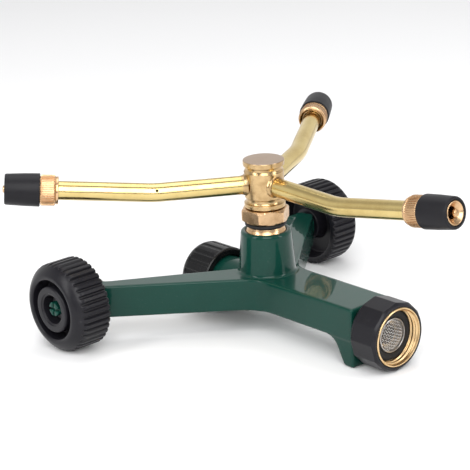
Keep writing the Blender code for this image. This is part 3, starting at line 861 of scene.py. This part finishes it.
collar = spin("collar", [(7.5, 36.0, 0.2), (9.8, 36.0, 0.3), (10.2, 36.6, 0.3), (10.2, 50.6, 0.3),
                         (10.35, 51.8, 0.4), (9.6, 53.0, 0.6), (9.35, 54.4, 0.2), (7.5, 54.4, 0.2)], 96)
piece("flared_collar", seat(collar, HUB), "brass", "base", ["column_insert"])
washer = spin("bearing", [(4.8, 54.7, 0.2), (10.3, 54.7, 0.8), (10.75, 55.7, 0.6), (10.3, 56.7, 0.8),
                          (4.8, 56.7, 0.2)], 96)
piece("bearing_washer_ring", seat(washer, HUB), "washer", "base", ["bearing_washer"])
piece("hexagon_gland", seat(make_gland(), HUB), "brass", "rotor", ["gland_nut"], 22.0)

# %% [markdown]
# The rotor head is bar stock, turned to a barrel between two grooves, with a flat sawn top. Three ports are
# bored into it for the tubes, and a Boolean cuts them so that a thin shadow shows round each tube.

# %% Rotor head
TUBE_R, ARM_REACH = 4.75, 47.6


def cut(mesh, tool):
    """Cut one mesh away from another."""
    keep = bpy.data.objects.new("keep", mesh)
    cutter = bpy.data.objects.new("cutter", tool)
    for item in (keep, cutter):
        bpy.context.scene.collection.objects.link(item)
    step = keep.modifiers.new("cut", "BOOLEAN")
    step.operation = "DIFFERENCE"
    step.object = cutter
    bpy.context.view_layer.update()
    result = keep.evaluated_get(bpy.context.evaluated_depsgraph_get())
    made = bpy.data.meshes.new_from_object(result)
    for item in (keep, cutter):
        bpy.data.objects.remove(item, do_unlink=True)
    return made


def rod(radius, length, segments=48):
    return spin("rod", [(0.0, 0.0), (radius, 0.0), (radius, length), (0.0, length)], segments)


def arm_axis(name):
    """Where an arm's nozzle starts and which way it points, from its joint."""
    joint = JOINTS[name + "_nozzle_twist"]
    return Vector(joint["pos_m"]), Vector(joint["axis"]).normalized()


def arm_bend(name):
    """The corner of an arm's two straight stretches, in mm about its root on the rotor's axis."""
    base, axis = arm_axis(name)
    return (base - ROTOR) / MM - axis * ARM_REACH


def arm_root(name):
    """Level direction in which an arm leaves the head."""
    corner = arm_bend(name)
    return Vector((corner.x, corner.y, 0.0)).normalized()


def make_head():
    section = [(7.6, 64.5, 0.2), (10.0, 64.5, 0.2), (10.45, 64.9, 0.25), (10.45, 67.0, 0.2),
               (9.75, 67.3, 0.2), (9.35, 68.4, 0.6), (9.75, 69.7, 0.3), (10.1, 70.0, 0.25),
               (10.1, 83.2, 0.25), (9.8, 83.5, 0.2), (9.35, 84.8, 0.6), (9.75, 86.0, 0.2),
               (10.45, 86.3, 0.2), (10.45, 88.75, 0.2), (10.2, 89.0, 0.1), (0.0, 89.0),
               (0.0, 84.4), (7.2, 84.4, 0.2), (7.2, 70.2, 0.2), (7.6, 69.8, 0.2)]
    head = spin("head", section, 160)
    flares = []
    for name in ARMS:
        head = cut(head, seat(rod(TUBE_R + 0.06, 14.0), Vector((0, 0, ROTOR.z)), arm_root(name)))
        flare = spin("flare", [(TUBE_R + 0.06, 8.9), (5.9, 8.9), (5.6, 9.8, 0.5), (5.1, 10.5, 0.6),
                               (TUBE_R + 0.12, 11.5), (TUBE_R + 0.06, 11.5)], 64)
        flares.append(seat(flare, Vector((0, 0, ROTOR.z)), arm_root(name)))
    return join([head, *flares], "head_with_flares")


piece("turned_head", seat(make_head(), HUB), "head_brass", "rotor", ["rotor_head"], 30.0)

# %% [markdown]
# Each arm is a drawn tube with one smooth bend, and a small side hole drilled near it whose jet turns the
# rotor. The path is worked out from the two straight stretches, and rings of points are carried along it.

# %% Arm tubes
BEND_R, ARM_ROOT, TUBE_WALL, JET_R, JET_RISE = 60.0, 8.3, 0.8, 0.75, math.radians(28.0)


def arm_path(name):
    """Points in mm about the rotor's axis, at the height of the arms' roots."""
    base, second = arm_axis(name)
    first = arm_root(name)
    end = (base - ROTOR) / MM
    corner = arm_bend(name)
    turn_angle = first.angle(second)
    tangent = BEND_R * math.tan(turn_angle / 2)
    start = corner - first * tangent
    inward = (second - first * first.dot(second)).normalized()
    points = [first * ARM_ROOT + (start - first * ARM_ROOT) * (i / 24) for i in range(24)]
    for i in range(17):
        angle = turn_angle * i / 16
        points.append(start + first * (BEND_R * math.sin(angle)) + inward * (BEND_R * (1 - math.cos(angle))))
    bend_end = points[-1]
    tail = end + second * 7.1
    points += [bend_end + (tail - bend_end) * (i / 24) for i in range(1, 25)]
    return points


def sweep_tube(name, points, outer, inner, sides=56):
    """Open pipe along a path, with the turned UV map."""
    rings, length = [], 0.0
    for i, point in enumerate(points):
        ahead = (points[min(i + 1, len(points) - 1)] - points[max(i - 1, 0)]).normalized()
        across = ahead.cross(UP).normalized()
        over = across.cross(ahead)
        length += (point - points[i - 1]).length if i else 0.0
        rings.append((point, across, over, length))
    loop = [(ring, outer) for ring in rings] + [(ring, inner) for ring in reversed(rings)]
    vertices, faces, uvs = [], [], []
    for (point, across, over, run), radius in loop:
        for k in range(sides):
            angle = 2 * math.pi * k / sides
            sideways = across * (radius * math.cos(angle))
            upwards = over * (radius * math.sin(angle))
            vertices.append((point + sideways + upwards) * MM)
    for r in range(len(loop)):
        n = (r + 1) % len(loop)
        v0, v1 = loop[r][0][3] * MM, loop[n][0][3] * MM
        for k in range(sides):
            j = (k + 1) % sides
            faces.append((r * sides + k, r * sides + j, n * sides + j, n * sides + k))
            uvs += [(k / sides, v0), ((k + 1) / sides, v0), ((k + 1) / sides, v1), (k / sides, v1)]
    mesh = bpy.data.meshes.new(name)
    mesh.from_pydata(vertices, [], faces)
    mesh.uv_layers.new(name="around").data.foreach_set("uv", np.array(uvs, np.float32).ravel())
    face_outwards(mesh)
    return mesh


for name in ARMS:
    path = arm_path(name)
    tube = sweep_tube(name + "_pipe", path, TUBE_R, TUBE_R - TUBE_WALL)
    first = arm_root(name)
    across = Vector((-first.y * math.cos(JET_RISE), first.x * math.cos(JET_RISE), math.sin(JET_RISE)))
    hole = (arm_bend(name) - first) * MM
    tube = cut(tube, seat(rod(JET_R, 8.0, 24), hole, across))
    seat(tube, ROTOR)
    piece(name + "_bent_tube", tube, "tube", "rotor", [name + "_arm_tube"], 50.0)

# %% [markdown]
# A twist nozzle ends each arm: a knurled brass barrel screws along a fixed seat whose pin fills the jet more
# or less, and a tapered rubber sleeve gives the fingers a grip. Heights run from the barrel's rear face.

# %% Twist nozzles
KNURLS = 46


def make_barrel():
    section = [(6.6, 0.0, 0.2), (6.9, 0.0, 0.2), (7.0, 0.3, 0.2), (7.0, 1.1, 0.2), (6.8, 1.3, 0.1),
               (7.1, 1.45, 0.15), (7.55, 1.8, 0.0, 0.0), (7.7, 2.1, 0.0, 1.0), (7.7, 8.4, 0.0, 1.0),
               (7.55, 8.8, 0.0, 0.0), (6.8, 8.8, 0.1), (6.8, 25.0, 0.2), (5.85, 25.0, 0.1),
               (5.75, 26.4, 0.25),
               (5.3, 26.55, 0.2), (4.9, 26.1, 0.2), (2.9, 24.2, 0.4), (2.7, 21.8, 0.2), (5.9, 17.8, 0.2),
               (5.9, 7.7, 0.2), (7.1, 7.45, 0.1), (7.1, 5.95, 0.1), (5.9, 5.7, 0.1), (5.9, 0.9, 0.2)]
    blank = spin("barrel", section, KNURLS * 10, 0.7)
    return carve(blank, "brass", KNURLS, 0.5, 0.0, -0.5, 0.5)


def make_sleeve():
    section = [(7.1, 9.1, 0.1), (8.05, 9.1, 0.2), (8.3, 9.5, 0.3), (8.15, 17.0, 0.5), (7.7, 26.0, 0.4),
               (7.3, 26.6, 0.3), (6.3, 26.6, 0.3), (6.1, 26.2, 0.2), (6.1, 25.3, 0.1), (7.1, 25.3, 0.1)]
    return spin("sleeve", section, 128)


def make_seat():
    section = [(5.05, 1.8, 0.1), (5.6, 1.8, 0.2), (5.6, 11.5, 0.2), (3.2, 13.8, 0.2), (3.2, 16.9, 0.2),
               (1.2, 19.1, 0.2), (1.2, 24.6, 0.3), (1.9, 26.0, 0.3), (1.9, 26.8, 0.3), (1.5, 27.5, 0.4),
               (0.0, 27.6), (0.0, 16.0), (1.9, 15.1, 0.2), (1.9, 8.0, 0.2), (5.05, 7.6, 0.1)]
    return spin("seat", section, 64)


for name in ARMS:
    base, axis = arm_axis(name)
    for label, mesh, finish, body, node, slot in (
            ("_knurled_barrel", make_barrel(), "brass", "_nozzle", "_nozzle_barrel", "turned_brass"),
            ("_rubber_sleeve", make_sleeve(), "rubber", "_nozzle", "_nozzle_sleeve", "rubber"),
            ("_jet_pin", make_seat(), "brass", None, "_nozzle_seat", "turned_brass")):
        rider = name + body if body else "rotor"
        piece(name + label, seat(mesh, base, axis), finish, rider, [name + node], 32.0)

# %% [markdown]
# Pieces sealed inside keep their CAD meshes, which are right as they are, and only take a finish.

# %% Inner pieces
INNER = {"swivel_tail": "thread_brass", "stem": "thread_brass", "thrust_washer": "acetal",
         "outlet_washer": "washer"}
INNER.update({name + "_nozzle_o_ring": "washer" for name in ARMS})
for node, finish in INNER.items():
    mesh = frame["nodes"][node].data
    mesh.materials.clear()
    mesh.materials.append(FINISH[finish])
print(len(INNER), "inner pieces")

# %% [markdown]
# The studio is a pale floor under large soft lights. Metal shows what is round it, so the sky is uneven: the
# half behind the object is white at the horizon and darker above, and the half ahead is dark. That gives the
# tubes their bands and keeps the paint's sides deep green.

# %% Floor and light
def make_floor():
    mesh = bpy.data.meshes.new("floor")
    size = 3.0
    corners = [(-size, -size, 0), (size, -size, 0), (size, size, 0), (-size, size, 0)]
    mesh.from_pydata(corners, [], [(0, 1, 2, 3)])
    material, tree, shader = new_finish("pale_floor")
    drift = speckle(tree, object_place(tree), 3.0, 2.0)
    plug(tree, shader.inputs["Base Color"], mix(tree, drift, (0.86, 0.86, 0.86), (0.88, 0.88, 0.88)))
    shader.inputs["Roughness"].default_value = 0.9
    mesh.materials.append(material)
    floor = bpy.data.objects.new("floor", mesh)
    floor.location.z = CAD_BOX[0].z - 0.0002
    bpy.context.scene.collection.objects.link(floor)


def make_sky():
    world = bpy.data.worlds.new("sky")
    bpy.context.scene.world = world
    world.use_nodes = True
    tree = world.node_tree
    backdrop = tree.nodes["Background"]
    node = tree.nodes.new("ShaderNodeTexCoord")
    apart = tree.nodes.new("ShaderNodeSeparateXYZ")
    tree.links.new(node.outputs["Generated"], apart.inputs[0])
    east, north, height = (Wire(tree, output) for output in apart.outputs)
    behind = (east * 0.66 + north * 0.75).ramp(-0.35, 0.35)
    far = add_node(tree, "ShaderNodeValToRGB", {"stops": [
        (0.0, (1.0, 1.0, 1.0)), (0.45, (0.95, 0.95, 0.95)), (0.65, (0.45, 0.45, 0.46)),
        (1.0, (0.35, 0.35, 0.36))]}, {"Fac": height})
    near = add_node(tree, "ShaderNodeValToRGB", {"stops": [
        (0.0, (0.16, 0.16, 0.17)), (0.5, (0.30, 0.30, 0.31)), (1.0, (0.35, 0.35, 0.36))]}, {"Fac": height})
    plug(tree, backdrop.inputs["Color"], mix(tree, behind, near, far))
    backdrop.inputs["Strength"].default_value = 1.0


def add_light(name, bearing, height, distance, size, power):
    """An area light that faces the object from a bearing in degrees from ahead, turning to its right."""
    data = bpy.data.lights.new(name, "AREA")
    data.shape = "RECTANGLE"
    data.size, data.size_y = size
    data.energy = power
    bearing, height = math.radians(bearing), math.radians(height)
    place = Vector((math.sin(bearing) * math.cos(height), -math.cos(bearing) * math.cos(height),
                    math.sin(height))) * distance
    light = bpy.data.objects.new(name, data)
    light.location = place + Vector((0, 0, 0.05))
    light.rotation_mode = "QUATERNION"
    light.rotation_quaternion = (-place).to_track_quat("-Z", "Y")
    bpy.context.scene.collection.objects.link(light)


make_floor()
make_sky()
add_light("overhead", 140.0, 72.0, 1.3, (1.1, 1.1), 8.0)
add_light("front_softbox", -40.0, 38.0, 1.2, (0.8, 1.15), 13.0)
add_light("left_strip", -100.0, 30.0, 1.1, (0.3, 0.9), 5.0)
add_light("right_strip", 25.0, 25.0, 1.1, (0.25, 0.9), 4.0)

# %% [markdown]
# The camera stands ahead and to the left of the object with a long lens, and looks down on it a little.

# %% Camera
AZIMUTH, ELEVATION, ROLL = -41.21, 18.8, -2.57
DISTANCE = 0.95908
FOCAL = 145.47
AIM = Vector((-14.02, 8.02, 50.6)) * MM


def make_camera():
    azimuth, elevation, roll = (math.radians(value) for value in (AZIMUTH, ELEVATION, ROLL))
    back = Vector((math.sin(azimuth) * math.cos(elevation), -math.cos(azimuth) * math.cos(elevation),
                   math.sin(elevation)))
    right = (-back).cross(UP).normalized()
    upward = right.cross(-back)
    tilted_right = right * math.cos(roll) + upward * math.sin(roll)
    tilted_up = upward * math.cos(roll) - right * math.sin(roll)
    data = bpy.data.cameras.new("camera")
    data.lens = FOCAL
    data.sensor_width = 36.0
    camera = bpy.data.objects.new("camera", data)
    camera.matrix_world = Matrix((
        (tilted_right.x, tilted_up.x, back.x, 0), (tilted_right.y, tilted_up.y, back.y, 0),
        (tilted_right.z, tilted_up.z, back.z, 0), (0, 0, 0, 1)))
    camera.location = HUB + AIM + back * DISTANCE
    bpy.context.scene.collection.objects.link(camera)
    bpy.context.scene.camera = camera
    bpy.context.scene.view_settings.view_transform = "Standard"


make_camera()
